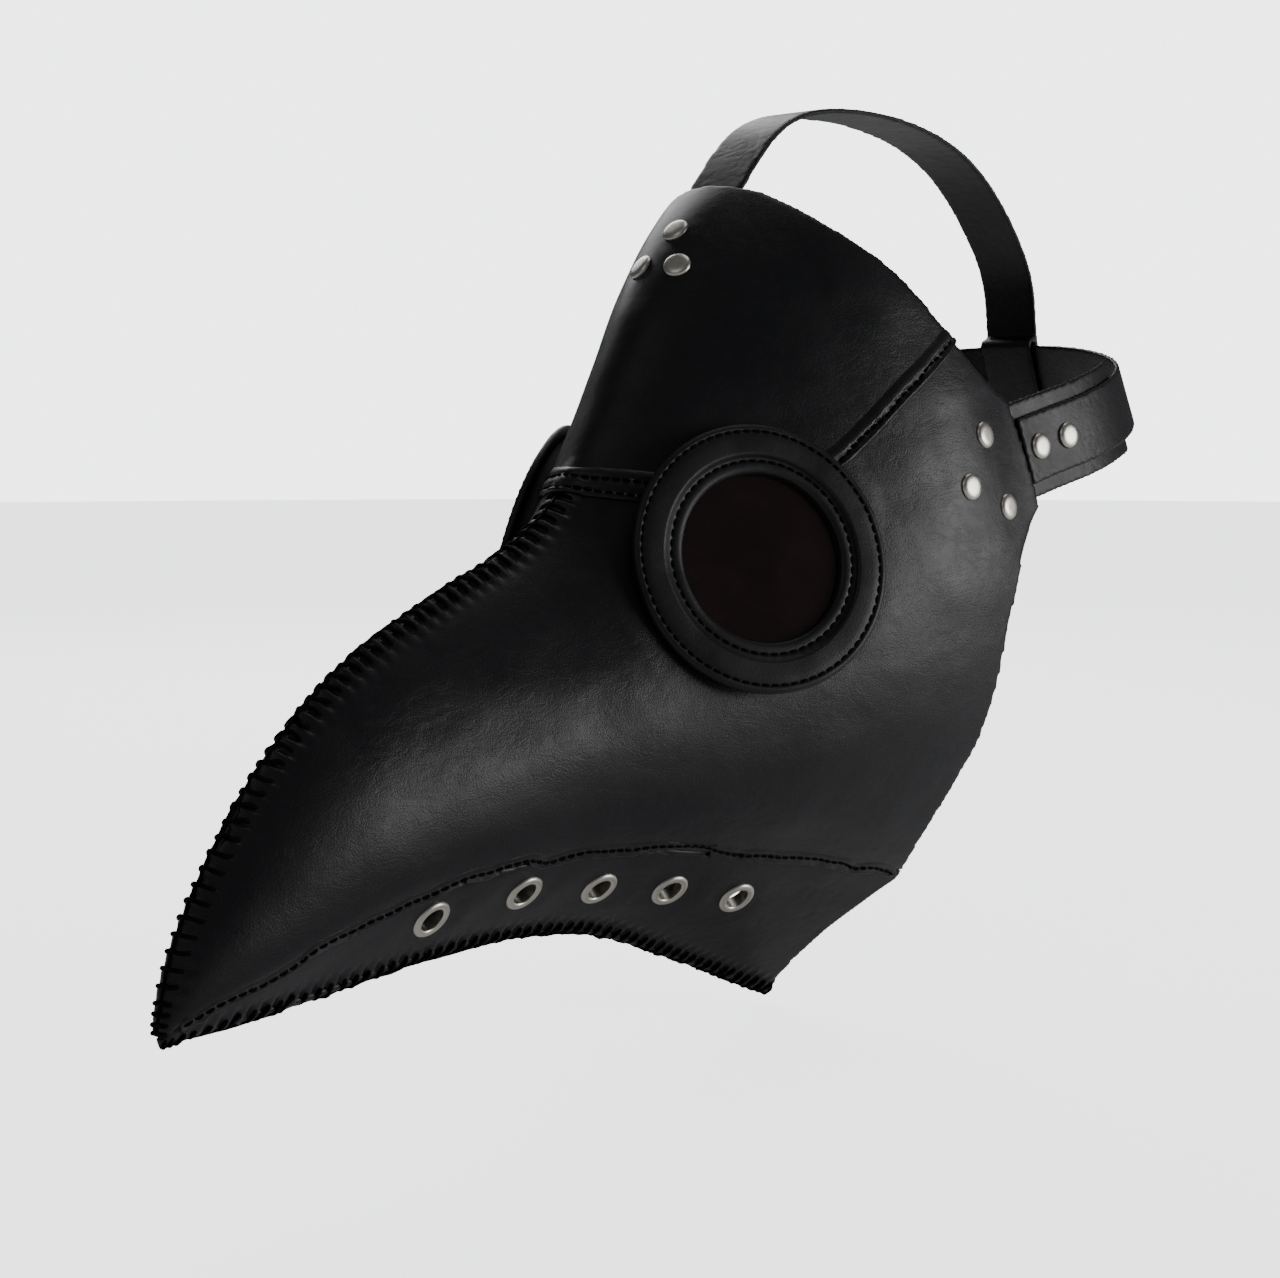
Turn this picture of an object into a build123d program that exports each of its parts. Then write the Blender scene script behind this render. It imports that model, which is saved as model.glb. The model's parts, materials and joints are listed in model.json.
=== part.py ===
"""Plague doctor mask: leather beak mask with round eye rings and a buckled head harness.

Frame: origin at the centre of the wearer's head, level with the eyes. +Z is up, the beak
points along -Y, and +X is the wearer's left. Millimetres.
"""
from build123d import *
from math import cos, radians, sin
import os

os.makedirs("parts", exist_ok=True)

# ---------------------------------------------------------------- driving dimensions
LEATHER = 2.0             # least thickness of the shell panels
LEATHER_SPREAD = 0.6      # how much thicker a panel is across its steepest slopes
STRAP = 1.8               # thickness of straps and tabs
GAP = 0.1                 # play between layers that lie on each other
NARROW = 23.5             # width of the side straps
WIDE = 34.5               # width of the anchor tabs
TOP_WIDTH = 22.5          # width of the top strap

# Side-view stations along the shell, from the beak's tip to behind the temples.
# Each has its top point (y, z), its bottom point (y, z), the half widths of the upper
# wall's five control points, the drop of the first one, and the drop of the seam with
# the lower panel. Drops are fractions of the distance from top point to bottom point.
STATIONS = [
    ((-317, -114.5), (-317, -119), (0.8, 1.5, 2, 2, 1.6), 0.10, 0.60),
    ((-312, -96), (-307, -118.5), (2.5, 5.5, 7.5, 6.5, 4.5), 0.10, 0.69),
    ((-300, -74), (-287, -118), (4, 10, 14, 11, 8.5), 0.09, 0.72),
    ((-279, -47), (-263, -117), (5.5, 15, 21, 16, 12), 0.08, 0.73),
    ((-243, -20), (-227, -114), (7, 20, 29, 22, 16), 0.07, 0.74),
    ((-202, -2), (-190, -114), (9, 25, 38, 29, 20), 0.06, 0.755),
    ((-168, 16), (-155, -118), (12, 30, 52, 38, 24), 0.03, 0.775),
    ((-143, 48), (-118, -131), (16, 31, 66, 53, 29), 0.00, 0.79),
    ((-118, 88), (-80, -147), (27, 32, 81, 68, 35), 0.00, 0.80),
    ((-87, 121), (-44, -162), (44, 50, 90, 76, 40), 0.00, 0.81),
    ((-48, 141), (-10, -173), (54, 66, 96, 80, 43), 0.00, 0.81),
    ((-5, 149), (25, -181), (60, 72, 96, 83, 45), 0.00, 0.81),
]
WALL_DROPS = (0.22, 0.50, 0.68)      # drops of the second to fourth control points
FIRST_HOLLOW = 2                     # the beak is closed in front of this station

# Side-view curves (y, z)
TOP_EDGE = [(-100, 133), (-87, 121.5), (-77, 112), (-53, 90), (-28, 62), (-10, 51)]
REAR_EDGE = [(0, 15), (-15, -6), (-22, -34), (-27, -62), (-34, -92), (-30, -114)]
CHIN_EDGE = [(-30, -114), (-43, -128), (-53, -145), (-50, -161)]
BROW_SEAM = [(-175, 27), (-157, 25.5), (-145, 24), (-115, 20), (-85, 33), (-64, 51), (-38, 70), (-5, 92)]

# Eye ring stack, measured inwards from the ring's outer face
EYE = Plane(origin=(49, -121.3, 1.6), x_dir=(0.47, 0.88, 0), z_dir=(0.85, -0.454, 0.27))
RING_RADIUS = 43.5
LENS_OPENING = 26.0
RING_THICKNESS = 3.0
CORE_RADIUS = 39.0
CORE_BORE = 31.0
SHELL_HOLE = 31.3
LENS_RADIUS = 30.5
LENS_THICKNESS = 1.5
RETAINER_RADIUS = 30.7
RETAINER_THICKNESS = 2.0

# Fasteners
RIVET_HEAD = 4.5
RIVET_SHANK = 1.5
RIVET_HOLE = 1.7
RIVET_FOOT = 3.5
FOREHEAD_RIVETS = [(0, 105), (-7.5, 93), (7.5, 93)]          # (x, z), seen from the front
ANCHOR_RIVETS = [(-29, 39), (-20, 15), (-40, 22)]            # (y, z), seen from the side
EYELETS = [(-228, -99), (-192, -97), (-159, -101), (-129, -106), (-99, -113)]   # (y, z)
EYELET_FLANGE = 6.5
EYELET_BORE = 4.0
EYELET_HOLE = 4.6
WASHER_RADIUS = 6.2

# Harness: the side straps lie in a plane that rises to the rear
HARNESS_TILT = 14.7
HARNESS = Plane(
    origin=(0, -5, 33),
    x_dir=(1, 0, 0),
    z_dir=(0, -sin(radians(HARNESS_TILT)), cos(radians(HARNESS_TILT))),
)
LEAN = 9.0                # lean of the side straps' upper edges towards the head
HEAD_RADIUS = 79.0        # middle of the narrow straps behind the head
HEAD_CENTRE = 44.5        # along the harness plane, behind the mask's rear edge
TAB_INSIDE = 40.0         # length of the anchor tab inside the mask
TAB_END = 16.0            # angles round the head start at the wearer's left
BAR_ANGLE = 125.0
KEEPER_ANGLE = 148.0
TAIL_END = 160.0
STRAP_RIVETS = (8.0, 23.0)           # distances behind the mask's rear edge

# Top strap, side view (y, z) of its middle line from the forehead's edge to the rear
TOP_STRAP = [(-78, 126), (-60, 142), (-25, 151.5), (15, 152), (60, 142), (95, 117), (108, 98)]

# Buckle
ROD = 1.3                 # radius of the frame's rod
FRAME_LENGTH = 17.0
FRAME_WIDTH = 28.5
FRAME_RISE = 6.0          # degrees that the frame leans away from the bar
FOLD_BORE = 1.6           # radii of the strap's fold round the bar
FOLD_RADIUS = 3.4
FOLD_LENGTH = 13.0
TONGUE_WIDTH = 3.2
TONGUE_BARREL = 1.6       # wall of the tongue's eye round the bar
TONGUE_PLAY = 0.3         # gap between that eye and the bar
TONGUE_SLOT = 14.5        # length of the strap hole that the tongue goes through
SLOT_WIDTH = 4.8
HOLE_ANGLES = (97, 109, 135, 147)
STRAP_HOLE = 1.7
KEEPER_LENGTH = 7.0       # degrees round the head
KEEPER_WALL = 1.5
KEEPER_HEIGHT = 4.6       # room inside the keeper across two straps
KEEPER_PLAY = 1.8         # room inside the keeper beyond the strap's width
KEEPER_RISE = 1.05        # how far the keeper's middle stands out from the inner strap's
SMALL_HEAD = 3.2          # radius of the rivets' heads under the strap's tail
SMALL_HEAD_HEIGHT = 1.0
LACE = 1.7                # radius of the lacing's bead

# Limits of the cutting blocks, all clear of the shell
AHEAD = -340
BEHIND = 80
ABOVE = 180
BELOW = -220
SIDE = 120


# ---------------------------------------------------------------- shell form
def station_plane(top, bottom):
    upwards = Vector(0, top[0] - bottom[0], top[1] - bottom[1]).normalized()
    return Plane(origin=(0, *bottom), x_dir=(1, 0, 0), z_dir=Vector(1, 0, 0).cross(upwards))


def half_form(inset):
    """Closed left half of the shell's form, with its walls moved inwards by inset."""
    stations = STATIONS[FIRST_HOLLOW:] if inset else STATIONS
    with BuildPart() as form:
        for top, bottom, widths, first_drop, seam_drop in stations:
            length = (Vector(*top) - Vector(*bottom)).length
            low = 1.7 * inset
            span = length - 1.5 * inset - low
            drops = (first_drop, *WALL_DROPS, seam_drop)
            wall = [(0, low + span)]
            for width, drop in zip(widths, drops):
                wall.append((max(width - 1.1 * inset, 0.3 * width), low + span * (1 - drop)))
            seam = wall[-1]
            with BuildSketch(station_plane(top, bottom)):
                with BuildLine():
                    Bezier(*wall)
                    Bezier(seam, (seam[0] * 0.53, low + (seam[1] - low) * 0.47), (0, low))
                    Line((0, low), wall[0])
                make_face()
        loft()
    return form.part


def seam_height_curve():
    """Side-view points of the seam between cheek and lower panels."""
    points = []
    for top, bottom, widths, first_drop, seam_drop in STATIONS:
        top_point = Vector(*top)
        points.append(top_point + (Vector(*bottom) - top_point) * seam_drop)
    return points


outer_form = half_form(0)
inner_form = half_form(LEATHER)
liner_form = half_form(LEATHER + STRAP + GAP)


def side_skin(y, z):
    """Plane on the left outer surface, seen from the side, with z pointing outwards."""
    hits = outer_form.find_intersection_points(Axis((0, y, z), (1, 0, 0)))
    point, normal = max(hits, key=lambda hit: hit[0].X)
    return Plane(origin=point, z_dir=normal if normal.X > 0 else -normal)


def front_skin(x, z):
    """Plane on the outer surface, seen from the front, with z pointing outwards."""
    hits = outer_form.find_intersection_points(Axis((abs(x) + 0.01, 0, z), (0, -1, 0)))
    point, normal = min(hits, key=lambda hit: hit[0].Y)
    outwards = normal if normal.Y < 0 else -normal
    side = 1 if x > 0 else -1
    if x == 0:
        outwards = Vector(0, outwards.Y, outwards.Z)
    return Plane(origin=(x, point.Y, point.Z), x_dir=(1, 0, 0.001),
                 z_dir=(side * outwards.X, outwards.Y, outwards.Z))


# ---------------------------------------------------------------- shell panels
def area_above(curve):
    """Side-view face of everything above a curve."""
    with BuildSketch(Plane.YZ) as area:
        with BuildLine():
            edge = Spline(*curve)
            first, last = edge @ 0, edge @ 1
            Polyline(last, (BEHIND, last.Y), (BEHIND, ABOVE), (AHEAD, ABOVE), (AHEAD, first.Y), first)
        make_face()
    return area.sketch


with BuildSketch(Plane.YZ) as shell_outline:
    with BuildLine():
        top_edge = Spline(*TOP_EDGE)
        Line(top_edge @ 1, REAR_EDGE[0])
        Spline(*REAR_EDGE)
        chin_edge = Spline(*CHIN_EDGE)
        Polyline(chin_edge @ 1, (-50, BELOW), (AHEAD, BELOW), (AHEAD, 133), top_edge @ 0)
    make_face()

with BuildPart() as half_shell:
    add(outer_form)
    add(inner_form, mode=Mode.SUBTRACT)
    extrude(shell_outline.sketch, amount=SIDE, mode=Mode.INTERSECT)
    with Locations(EYE):
        Cylinder(SHELL_HOLE, 60, mode=Mode.SUBTRACT)


cheek_area = area_above(seam_height_curve())
brow_area = area_above(BROW_SEAM)



def rivet_holes(planes):
    """Clearance holes for rivets, to be subtracted."""
    with BuildPart() as holes:
        for plane in planes:
            with Locations(plane):
                Cylinder(RIVET_HOLE, 24)
    return holes.part


forehead_planes = [front_skin(x, z) for x, z in FOREHEAD_RIVETS]
anchor_planes = [side_skin(y, z) for y, z in ANCHOR_RIVETS]
eyelet_planes = [side_skin(y, z) for y, z in EYELETS]

with BuildPart() as left_lower_panel:
    add(half_shell.part)
    extrude(cheek_area, amount=SIDE, mode=Mode.SUBTRACT)
    for plane in eyelet_planes:
        with Locations(plane):
            Cylinder(EYELET_HOLE, 12, mode=Mode.SUBTRACT)

with BuildPart() as left_cheek_panel:
    add(half_shell.part)
    extrude(cheek_area, amount=SIDE, mode=Mode.INTERSECT)
    extrude(brow_area, amount=SIDE, mode=Mode.SUBTRACT)
    add(rivet_holes(anchor_planes), mode=Mode.SUBTRACT)

with BuildPart() as forehead_panel:
    add(half_shell.part)
    extrude(brow_area, amount=SIDE, mode=Mode.INTERSECT)
    mirror(about=Plane.YZ)
    add(rivet_holes(forehead_planes), mode=Mode.SUBTRACT)


# ---------------------------------------------------------------- eye ring stack
def annulus(radius, bore, top, bottom):
    """Flat ring between two depths below the eye ring's outer face."""
    with BuildPart() as ring:
        with BuildSketch(EYE.offset(-bottom)):
            Circle(radius)
            Circle(bore, mode=Mode.SUBTRACT)
        extrude(amount=bottom - top)
    return ring.part


LENS_TOP = RING_THICKNESS + GAP
RETAINER_TOP = LENS_TOP + LENS_THICKNESS + GAP

with BuildPart() as left_eye_ring:
    add(annulus(RING_RADIUS, LENS_OPENING, 0, RING_THICKNESS))
    outer_rims = left_eye_ring.edges().filter_by(GeomType.CIRCLE).sort_by(Axis(EYE.origin, EYE.z_dir))[-2:]
    fillet(outer_rims, 0.9)
    add(outer_form, mode=Mode.SUBTRACT)

with BuildPart() as left_ring_core:
    add(annulus(CORE_RADIUS, CORE_BORE, RING_THICKNESS, 24))
    add(outer_form, mode=Mode.SUBTRACT)

with BuildPart() as left_lens:
    with BuildSketch(EYE.offset(-LENS_TOP)):
        Circle(LENS_RADIUS)
    extrude(amount=-LENS_THICKNESS)

with BuildPart() as left_lens_retainer:
    add(annulus(RETAINER_RADIUS, LENS_OPENING + 1, RETAINER_TOP, RETAINER_TOP + RETAINER_THICKNESS))


# ---------------------------------------------------------------- fasteners
def rivet(grip, head=RIVET_HEAD, head_height=1.7):
    """Rivet along Z with a domed head above z = 0 and a flat foot below the grip."""
    with BuildPart() as fastener:
        with BuildSketch(Plane.XZ):
            with BuildLine():
                Polyline((0, head_height), (0, -grip - 1), (RIVET_FOOT, -grip - 1), (RIVET_FOOT, -grip),
                         (RIVET_SHANK, -grip), (RIVET_SHANK, 0), (head, 0), (head, 0.5))
                Bezier((head, 0.5), (head * 0.9, head_height), (head * 0.5, head_height), (0, head_height))
            make_face()
        revolve(axis=Axis.Z)
    return fastener.part


def placed(piece, planes):
    """The same piece standing on each plane."""
    with BuildPart() as group:
        for plane in planes:
            with Locations(plane):
                add(piece)
    return group.part


BARREL = LEATHER + LEATHER_SPREAD + 0.8

with BuildPart() as eyelet:
    with BuildSketch(Plane.XZ):
        with BuildLine():
            Polyline((EYELET_BORE, 0.6), (EYELET_BORE, -BARREL), (EYELET_BORE + 0.4, -BARREL),
                     (EYELET_BORE + 0.4, 0), (EYELET_FLANGE, 0), (EYELET_FLANGE, 0.3))
            Bezier((EYELET_FLANGE, 0.3), (EYELET_FLANGE - 0.3, 1.4), (EYELET_BORE + 0.4, 1.5),
                   (EYELET_BORE, 0.6))
        make_face()
    revolve(axis=Axis.Z)

with BuildPart() as washer:
    with BuildSketch(Plane.XY.offset(-BARREL)):
        Circle(WASHER_RADIUS)
        Circle(EYELET_BORE + 0.5, mode=Mode.SUBTRACT)
    extrude(amount=0.6)

shell_grip = LEATHER + STRAP + 2 * LEATHER_SPREAD
forehead_rivets = placed(rivet(shell_grip), [plane.offset(GAP) for plane in forehead_planes])
left_anchor_rivets = placed(rivet(shell_grip), [plane.offset(GAP) for plane in anchor_planes])
left_eyelets = placed(eyelet.part, [plane.offset(GAP) for plane in eyelet_planes])
left_eyelet_washers = placed(washer.part, eyelet_planes)


# ---------------------------------------------------------------- side straps
def around(radius, angle):
    """Point in the harness plane at an angle round the head."""
    return (radius * cos(radians(angle)), HEAD_CENTRE + radius * sin(radians(angle)))


def strap_frame(radius, angle):
    """Plane on a side strap: x runs forwards round the head, y across the strap, z outwards."""
    centre = HARNESS.from_local_coords(Vector(*around(radius, angle)))
    along = HARNESS.from_local_coords(Vector(*around(radius, angle - 90))) - HARNESS.from_local_coords(
        Vector(0, HEAD_CENTRE))
    outwards = centre - HARNESS.from_local_coords(Vector(0, HEAD_CENTRE))
    lifted = outwards.normalized() * cos(radians(LEAN)) + HARNESS.z_dir * sin(radians(LEAN))
    return Plane(origin=centre, x_dir=along, z_dir=lifted)


def swept_strap(line, width):
    """Leaning strap of a given width along a line drawn in the harness plane."""
    path = HARNESS.from_local_coords(line)
    start = path @ 0
    along = path % 0
    outwards = along.cross(HARNESS.z_dir)
    with BuildPart() as strap:
        with BuildSketch(Plane(origin=start, x_dir=outwards, z_dir=along)):
            Rectangle(STRAP, width, rotation=-LEAN)
        sweep(path=path)
    return strap.part


edge_skin = side_skin(HARNESS.origin.Y, HARNESS.origin.Z)
TAB_START = edge_skin.origin.X - LEATHER - STRAP / 2 - 0.3
LAYER = STRAP + 2.5 * GAP          # spacing of two leaning layers
TAB_RADIUS = HEAD_RADIUS - LAYER

with BuildLine() as tab_line:
    Spline((TAB_START, -3), (TAB_RADIUS, HEAD_CENTRE), tangents=((0.07, 1), (0, 1)))
    CenterArc((0, HEAD_CENTRE), TAB_RADIUS, 0, TAB_END)

with BuildLine() as left_strap_line:
    Spline((TAB_START + LAYER + 0.7, 0.5), (HEAD_RADIUS, HEAD_CENTRE), tangents=((0.07, 1), (0, 1)))
    CenterArc((0, HEAD_CENTRE), HEAD_RADIUS, 0, BAR_ANGLE - 16)
    rise = [around(HEAD_RADIUS + lift, BAR_ANGLE + turn)
            for lift, turn in ((0, -16), (0.1, -12), (2, -5.5), (3.9, 0), (4, 7), (2.1, 15))]
    before = around(1, BAR_ANGLE - 16 + 90)
    after = around(1, BAR_ANGLE + 15 + 90)
    Spline(*rise, tangents=((before[0], before[1] - HEAD_CENTRE), (after[0], after[1] - HEAD_CENTRE)))
    CenterArc((0, HEAD_CENTRE), HEAD_RADIUS + 2.1, BAR_ANGLE + 15, TAIL_END - BAR_ANGLE - 15)


def across(plane):
    """Plane for a side profile of something on the strap: x along the strap, y outwards."""
    return Plane(origin=plane.origin, x_dir=plane.x_dir, z_dir=-plane.y_dir)


def strap_rivet_planes():
    """Planes of the two rivets that join the narrow strap to the anchor tab."""
    path = HARNESS.from_local_coords(left_strap_line.wire())
    planes = []
    for distance in STRAP_RIVETS:
        part_way = distance / path.length
        outwards = (path % part_way).cross(HARNESS.z_dir)
        lifted = outwards * cos(radians(LEAN)) + HARNESS.z_dir * sin(radians(LEAN))
        planes.append(Plane(origin=path @ part_way, z_dir=lifted).offset(STRAP / 2))
    return planes


strap_planes = strap_rivet_planes()
bar_plane = strap_frame(HEAD_RADIUS - STRAP / 2, BAR_ANGLE)
slot_plane = strap_frame(HEAD_RADIUS + 3, BAR_ANGLE - 3.3)
fold_planes = [Plane(origin=bar_plane.from_local_coords(Vector(-9, y, STRAP)), z_dir=bar_plane.z_dir)
               for y in (-6.5, 6.5)]

with BuildPart() as left_anchor_tab:
    with BuildSketch(HARNESS.offset(-WIDE / 2)):
        with Locations((TAB_START, -TAB_INSIDE / 2)):
            Rectangle(30, TAB_INSIDE)
    extrude(amount=WIDE)
    add(inner_form, mode=Mode.INTERSECT)
    add(liner_form, mode=Mode.SUBTRACT)
    add(swept_strap(tab_line.wire(), WIDE))
    add(half_shell.part, mode=Mode.SUBTRACT)
    add(rivet_holes(anchor_planes + strap_planes), mode=Mode.SUBTRACT)

with BuildPart() as left_strap:
    add(swept_strap(left_strap_line.wire(), NARROW))
    with BuildSketch(slot_plane):
        SlotOverall(TONGUE_SLOT, SLOT_WIDTH)
    extrude(amount=5, both=True, mode=Mode.SUBTRACT)
    for angle in HOLE_ANGLES:
        with Locations(strap_frame(HEAD_RADIUS + 1, angle)):
            Cylinder(STRAP_HOLE, 8, mode=Mode.SUBTRACT)
    add(rivet_holes(strap_planes), mode=Mode.SUBTRACT)

left_strap_rivets = placed(rivet(2 * STRAP + 5 * GAP), [plane.offset(GAP) for plane in strap_planes])

with BuildLine() as short_strap_line:
    Spline((TAB_START + LAYER + 0.7, 0.5), (HEAD_RADIUS, HEAD_CENTRE), tangents=((0.07, 1), (0, 1)))
    CenterArc((0, HEAD_CENTRE), HEAD_RADIUS, 0, 180 - BAR_ANGLE - 5)

with BuildPart() as short_strap:
    add(swept_strap(short_strap_line.wire(), NARROW))
    add(rivet_holes(strap_planes), mode=Mode.SUBTRACT)

with BuildPart() as right_strap:
    add(mirror(short_strap.part, about=Plane.YZ, mode=Mode.PRIVATE))
    with BuildSketch(across(bar_plane)):
        Circle(FOLD_RADIUS)
        with Locations((-FOLD_LENGTH / 2, -STRAP / 2 - GAP)):
            Rectangle(FOLD_LENGTH, STRAP)
        with Locations((-4.5, STRAP / 2)):
            Rectangle(9, STRAP)
        Circle(FOLD_BORE, mode=Mode.SUBTRACT)
    extrude(amount=NARROW / 2, both=True)
    with BuildSketch(bar_plane):
        Rectangle(2 * FOLD_RADIUS + 2, SLOT_WIDTH)
    extrude(amount=5, both=True, mode=Mode.SUBTRACT)
    with BuildSketch(across(bar_plane)):
        Circle(FOLD_BORE)
    extrude(amount=NARROW, both=True, mode=Mode.SUBTRACT)
    add(rivet_holes(fold_planes), mode=Mode.SUBTRACT)

fold_rivet = rivet(2 * STRAP + 3 * GAP, SMALL_HEAD, SMALL_HEAD_HEIGHT)
fold_rivets = placed(fold_rivet, [plane.offset(GAP) for plane in fold_planes])


# ---------------------------------------------------------------- buckle
rise_cos = cos(radians(FRAME_RISE))
rise_sin = sin(radians(FRAME_RISE))
frame_plane = Plane(
    origin=bar_plane.origin,
    x_dir=bar_plane.x_dir * rise_cos + bar_plane.z_dir * rise_sin,
    z_dir=bar_plane.z_dir * rise_cos - bar_plane.x_dir * rise_sin,
)

with BuildSketch(frame_plane) as frame_outline:
    with Locations((FRAME_LENGTH / 2, 0)):
        RectangleRounded(FRAME_LENGTH, FRAME_WIDTH, 2.2)

with BuildPart() as buckle_frame:
    rod_path = frame_outline.sketch.face().outer_wire()
    with BuildSketch(Plane(origin=rod_path @ 0, z_dir=rod_path % 0)):
        Circle(ROD)
    sweep(path=rod_path)

with BuildPart() as buckle_tongue:
    with BuildSketch(across(frame_plane)):
        Circle(ROD + TONGUE_BARREL)
        with BuildLine():
            Polyline((0, ROD + TONGUE_PLAY), (FRAME_LENGTH + 1.5, ROD + TONGUE_PLAY),
                     (FRAME_LENGTH + 3.2, ROD - 0.9), (FRAME_LENGTH + 3.6, ROD + 0.2),
                     (FRAME_LENGTH + 1.6, ROD + 1.9), (0, ROD + TONGUE_BARREL), close=True)
        make_face()
        Circle(ROD + 0.2, mode=Mode.SUBTRACT)
    extrude(amount=TONGUE_WIDTH / 2, both=True)

keeper_start = KEEPER_ANGLE - KEEPER_LENGTH / 2
keeper_end = strap_frame(HEAD_RADIUS + KEEPER_RISE, keeper_start)
keeper_line = Plane(origin=keeper_end.origin, x_dir=keeper_end.z_dir, z_dir=keeper_end.x_dir)
harness_axis = Axis(HARNESS.from_local_coords(Vector(0, HEAD_CENTRE)), HARNESS.z_dir)

with BuildPart() as strap_keeper:
    with BuildSketch(keeper_line):
        RectangleRounded(KEEPER_HEIGHT + 2 * KEEPER_WALL, NARROW + KEEPER_PLAY + 2 * KEEPER_WALL, 1.2)
        Rectangle(KEEPER_HEIGHT, NARROW + KEEPER_PLAY, mode=Mode.SUBTRACT)
    revolve(axis=harness_axis, revolution_arc=KEEPER_LENGTH)


# ---------------------------------------------------------------- top strap
rear_plane = strap_frame(HEAD_RADIUS, 90)
loop_plane = Plane(origin=rear_plane.from_local_coords(Vector(0, 0, -0.4)), x_dir=-rear_plane.y_dir,
                   z_dir=Vector(1, 0, 0))
LOOP_OPENING = (NARROW + 2.5, 3.6)
loop_start = loop_plane.from_local_coords(Vector(6, -(LOOP_OPENING[1] + STRAP) / 2, 0))
brow_start = front_skin(0, 111)
start_point = brow_start.origin - brow_start.z_dir * (LEATHER + STRAP / 2 + 2)
brow_slope = Vector(0, -brow_start.z_dir.Z, brow_start.z_dir.Y) * -1

with BuildLine() as top_line:
    Spline(start_point, *[(0, y, z) for y, z in TOP_STRAP], loop_start,
           tangents=(brow_slope, -loop_plane.x_dir))

with BuildPart() as brow_patch:
    with BuildSketch(Plane.XZ.offset(80)):
        with Locations((TOP_WIDTH / 4, 102)):
            Rectangle(TOP_WIDTH / 2, 38)
    extrude(amount=60)
    add(inner_form, mode=Mode.INTERSECT)
    add(liner_form, mode=Mode.SUBTRACT)
    extrude(shell_outline.sketch, amount=SIDE, mode=Mode.INTERSECT)
    mirror(about=Plane.YZ)

with BuildPart() as top_strap:
    with BuildSketch(Plane(origin=start_point, x_dir=(1, 0, 0), z_dir=top_line.wire() % 0)):
        Rectangle(TOP_WIDTH, STRAP)
    sweep(path=top_line.wire())
    with BuildSketch(loop_plane):
        RectangleRounded(LOOP_OPENING[0] + 2 * STRAP, LOOP_OPENING[1] + 2 * STRAP, 2.5)
        RectangleRounded(*LOOP_OPENING, 1, mode=Mode.SUBTRACT)
    extrude(amount=TOP_WIDTH / 2, both=True)
    with BuildSketch(loop_plane):
        RectangleRounded(*LOOP_OPENING, 1)
    extrude(amount=TOP_WIDTH, both=True, mode=Mode.SUBTRACT)
    add(half_shell.part, mode=Mode.SUBTRACT)
    add(mirror(half_shell.part, about=Plane.YZ, mode=Mode.PRIVATE), mode=Mode.SUBTRACT)
    add(brow_patch.part)
    add(rivet_holes(forehead_planes), mode=Mode.SUBTRACT)

# ---------------------------------------------------------------- lacing
def lace_bead(points):
    """Bead along side-view points of a seam in the middle plane, cut to lie on the leather."""
    with BuildLine(Plane.YZ) as seam:
        Spline(*points)
    with BuildPart() as bead:
        with BuildSketch(Plane(origin=seam.wire() @ 0, z_dir=seam.wire() % 0)):
            Circle(LACE)
        sweep(path=seam.wire())
        add(outer_form, mode=Mode.SUBTRACT)
        add(mirror(outer_form, about=Plane.YZ, mode=Mode.PRIVATE), mode=Mode.SUBTRACT)
    return bead.part

ridge_lacing = lace_bead([top for top, *_ in STATIONS[:7]])
keel_points = [(y, z - 0.8) for _, (y, z), *_ in STATIONS[1:9]]
keel_lacing = lace_bead([*keel_points, (-54, -158.6)])

# ---------------------------------------------------------------- nodes
both_sides = {
    "cheek_panel": left_cheek_panel.part,
    "lower_panel": left_lower_panel.solids().sort_by(SortBy.VOLUME)[-1],
    "eye_ring": left_eye_ring.part,
    "ring_core": left_ring_core.part,
    "lens": left_lens.part,
    "lens_retainer": left_lens_retainer.part,
    "anchor_tab": left_anchor_tab.part,
    "anchor_rivets": left_anchor_rivets,
    "strap_rivets": left_strap_rivets,
    "eyelets": left_eyelets,
    "eyelet_washers": left_eyelet_washers,
}
nodes = {
    "forehead_panel": forehead_panel.part,
    "forehead_rivets": forehead_rivets,
    "top_strap": top_strap.part,
    "left_strap": left_strap.part,
    "right_strap": right_strap.part,
    "fold_rivets": fold_rivets,
    "buckle_frame": buckle_frame.part,
    "buckle_tongue": buckle_tongue.part,
    "strap_keeper": strap_keeper.part,
    "ridge_lacing": ridge_lacing,
    "keel_lacing": keel_lacing,
}
for name, piece in both_sides.items():
    nodes[f"left_{name}"] = piece
    nodes[f"right_{name}"] = mirror(piece, about=Plane.YZ)

for name, piece in nodes.items():
    piece.label = name
    export_step(piece, f"parts/{name}.step")
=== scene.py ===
"""Looks of the plague doctor mask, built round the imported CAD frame. Metres, +Z up, beak along -Y."""
import json
import math
import random
import bmesh
import bpy
import numpy as np
from mathutils import Matrix, Vector
from mathutils import noise as field
from mathutils.bvhtree import BVHTree
from mathutils.kdtree import KDTree


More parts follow.
